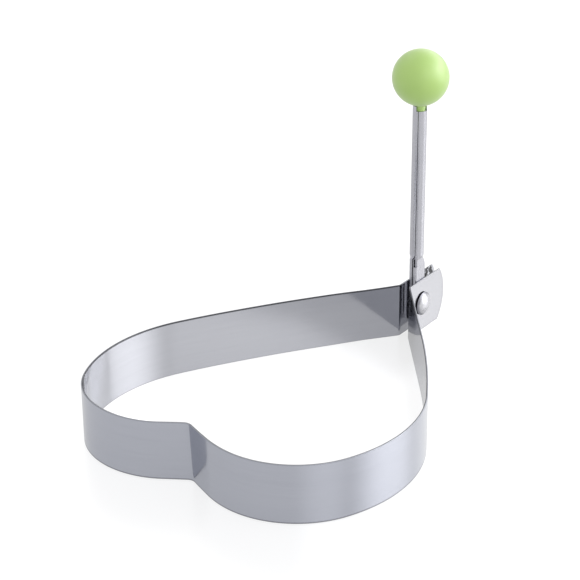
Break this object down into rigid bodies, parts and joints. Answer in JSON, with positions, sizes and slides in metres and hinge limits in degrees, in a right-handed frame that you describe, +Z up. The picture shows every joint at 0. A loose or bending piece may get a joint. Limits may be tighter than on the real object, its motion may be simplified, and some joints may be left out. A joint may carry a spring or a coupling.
{
  "type": "egg ring",
  "caption": "Heart-shaped egg ring bent from one stainless strip, with a folding rolled-sheet handle riveted at the tip and a green ball grip.",
  "frame": {"origin": "centre of the bounding box at the level of the lower rim", "axes": "+X from the heart's cleft to its tip and ears, +Y to the left lobe, away from the rivet's head, +Z up along the upright handle"},
  "size_m": [0.128, 0.0904, 0.0849],
  "materials": {
    "strip_steel": "bright rolled stainless sheet, nearly mirror-like, with a faint grain along the strip",
    "handle_steel": "satin stainless sheet with a faint grain along the tube",
    "knob_plastic": "smooth moulded plastic, soft satin, light apple green",
    "rivet_steel": "bright domed rivet"
  },
  "bodies": {
    "ring": {"heart_strip": "strip_steel", "hinge_rivet": "rivet_steel"},
    "handle": {"rolled_handle": "handle_steel", "ball_knob": "knob_plastic"}
  },
  "joints": [
    {"name": "handle_fold", "type": "hinge", "parent": "ring", "child": "handle", "pos_m": [0.05036, 0, 0.0085], "axis": [0, 1, 0], "range_deg": [-90, 90]}
  ]
}
